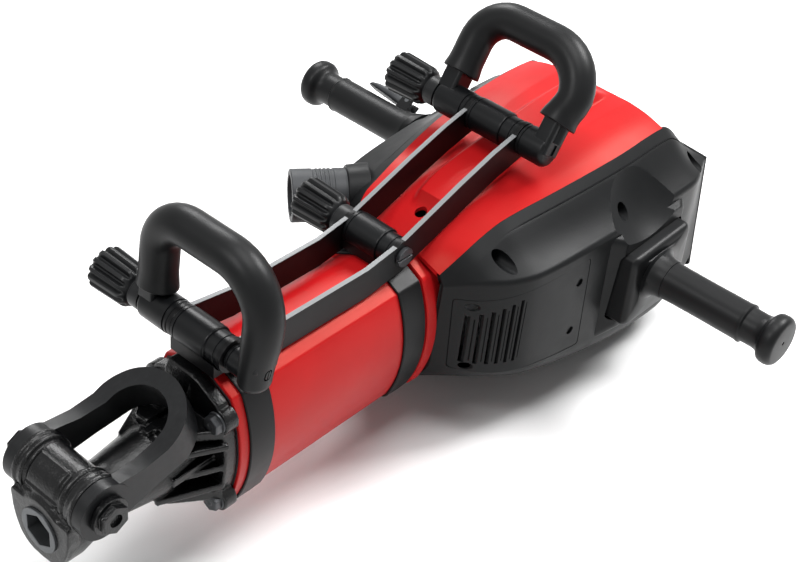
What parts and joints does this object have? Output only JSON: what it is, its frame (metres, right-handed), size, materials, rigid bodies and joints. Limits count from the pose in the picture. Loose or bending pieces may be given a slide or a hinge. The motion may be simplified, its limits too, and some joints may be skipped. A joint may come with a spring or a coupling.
{
  "type": "electric jackhammer",
  "caption": "Heavy electric breaker with two side grips, carrying handles on rails, a hexagonal tool socket and a swinging tool retainer.",
  "frame": {"origin": "centre of the hexagonal tool socket's mouth, on the hammer axis", "axes": "+X along the hammer axis out of the tool socket, +Y to the user's left, +Z from the hammer axis towards the carrying handles"},
  "size_m": [0.775, 0.612, 0.3646],
  "materials": {
    "red_paint": "semi-gloss red moulding",
    "black_paint": "gloss black enamel",
    "dark_plastic": "satin dark grey moulding",
    "cast_black": "black coated rough casting",
    "forged_dark": "satin dark forging",
    "grip_rubber": "smooth black rubber",
    "knob_plastic": "dark grey glass-filled plastic",
    "tool_steel": "hardened steel",
    "bolt_steel": "zinc plated steel",
    "tube_steel": "satin dark coating on steel",
    "case_aluminium": "die casting",
    "stator_iron": "laminated iron",
    "copper": "copper segments",
    "carbon": "carbon brush",
    "lever_grey": "light grey plastic",
    "inlet_grey": "mid grey plastic",
    "fan_plastic": "black plastic"
  },
  "bodies": {
    "body": {"nose_casting": "cast_black", "tool_bushing": "tool_steel", "nose_bolts": "bolt_steel", "yoke_bolt": "cast_black", "yoke_nut": "cast_black", "barrel_cover": "red_paint", "cylinder_tube": "tool_steel", "front_band": "black_paint", "rear_band": "black_paint", "bearings": "tool_steel", "gear_case": "case_aluminium", "motor_can": "dark_plastic", "stator": "stator_iron", "brushes": "carbon", "left_rail": "black_paint", "right_rail": "black_paint", "cross_tubes": "tube_steel", "front_cross_bolt": "bolt_steel", "mid_cross_bolt": "bolt_steel", "rear_cross_bolt": "bolt_steel", "top_cover": "red_paint", "tail_cover": "dark_plastic", "left_cover": "dark_plastic", "right_cover": "dark_plastic", "base_pan": "dark_plastic", "rear_plate": "dark_plastic", "rear_panel": "red_paint", "vent_panel": "dark_plastic", "panel_screws": "bolt_steel", "handlebar_guides": "case_aluminium", "power_inlet": "inlet_grey", "inlet_pins": "copper"},
    "yoke": {"retainer_yoke": "forged_dark"},
    "anvil": {"anvil": "tool_steel"},
    "striker": {"striker": "tool_steel"},
    "drive_piston": {"piston": "case_aluminium", "wrist_pin": "tool_steel"},
    "rod": {"connecting_rod": "case_aluminium", "crank_pin": "tool_steel"},
    "crank": {"crank_gear": "tool_steel"},
    "lay": {"layshaft": "tool_steel"},
    "rotor": {"rotor_shaft": "tool_steel", "rotor_core": "stator_iron", "commutator": "copper", "fan": "fan_plastic"},
    "front_handle": {"front_handle_frame": "tube_steel", "front_handle_grip": "grip_rubber"},
    "rear_handle": {"rear_handle_frame": "tube_steel", "rear_handle_grip": "grip_rubber"},
    "front_clamp": {"front_knob": "knob_plastic"},
    "mid_clamp": {"mid_knob": "knob_plastic"},
    "rear_clamp": {"rear_knob": "knob_plastic"},
    "grips": {"handlebar": "tool_steel", "left_grip_boot": "grip_rubber", "right_grip_boot": "grip_rubber", "left_grip_sleeve": "grip_rubber", "right_grip_sleeve": "grip_rubber", "lever_bracket": "grip_rubber", "lever_pin": "tool_steel"},
    "lever": {"switch_lever": "lever_grey"}
  },
  "joints": [
    {"name": "yoke_swing", "type": "hinge", "parent": "body", "child": "yoke", "pos_m": [-0.031, 0, 0.035], "axis": [0, 1, 0], "range_deg": [0, 190]},
    {"name": "anvil_slide", "type": "slide", "parent": "body", "child": "anvil", "axis": [1, 0, 0], "range_m": [0, 0.012]},
    {"name": "striker_slide", "type": "slide", "parent": "body", "child": "striker", "axis": [1, 0, 0], "range_m": [0, 0.076]},
    {"name": "piston_slide", "type": "slide", "parent": "body", "child": "drive_piston", "axis": [1, 0, 0], "range_m": [0, 0.06]},
    {"name": "rod_swing", "type": "hinge", "parent": "drive_piston", "child": "rod", "pos_m": [-0.46, 0, 0], "axis": [0, 1, 0], "range_deg": [-15.8, 15.8]},
    {"name": "crank_spin", "type": "hinge", "parent": "body", "child": "crank", "pos_m": [-0.54, 0, 0], "axis": [0, 1, 0], "continuous": true},
    {"name": "layshaft_spin", "type": "hinge", "parent": "body", "child": "lay", "pos_m": [-0.59734, 0, -0.04015], "axis": [0, 1, 0], "continuous": true},
    {"name": "rotor_spin", "type": "hinge", "parent": "body", "child": "rotor", "pos_m": [-0.64815, 0, -0.0446], "axis": [0, 1, 0], "continuous": true},
    {"name": "front_handle_tilt", "type": "hinge", "parent": "body", "child": "front_handle", "pos_m": [-0.181, 0, 0.099], "axis": [0, 1, 0], "range_deg": [-60, 70]},
    {"name": "rear_handle_tilt", "type": "hinge", "parent": "body", "child": "rear_handle", "pos_m": [-0.555, 0, 0.149], "axis": [0, 1, 0], "range_deg": [-50, 90]},
    {"name": "front_knob_turn", "type": "hinge", "parent": "body", "child": "front_clamp", "pos_m": [-0.181, 0, 0.099], "axis": [0, 1, 0], "continuous": true},
    {"name": "mid_knob_turn", "type": "hinge", "parent": "body", "child": "mid_clamp", "pos_m": [-0.39, 0, 0.095], "axis": [0, 1, 0], "continuous": true},
    {"name": "rear_knob_turn", "type": "hinge", "parent": "body", "child": "rear_clamp", "pos_m": [-0.555, 0, 0.149], "axis": [0, 1, 0], "continuous": true},
    {"name": "grip_travel", "type": "slide", "parent": "body", "child": "grips", "axis": [1, 0, 0], "range_m": [-0.002, 0.002], "stiffness_N_per_m": 20000},
    {"name": "lever_squeeze", "type": "hinge", "parent": "grips", "child": "lever", "pos_m": [-0.65035, -0.186, 0.04235], "axis": [0.5736, 0, 0.8192], "range_deg": [0, 6], "stiffness_Nm_per_rad": 1.5, "springref_deg": -5.73}
  ],
  "couplings": [
    {"joint": "layshaft_spin", "follows": "crank_spin", "ratio": -3},
    {"joint": "rotor_spin", "follows": "crank_spin", "ratio": 14}
  ]
}
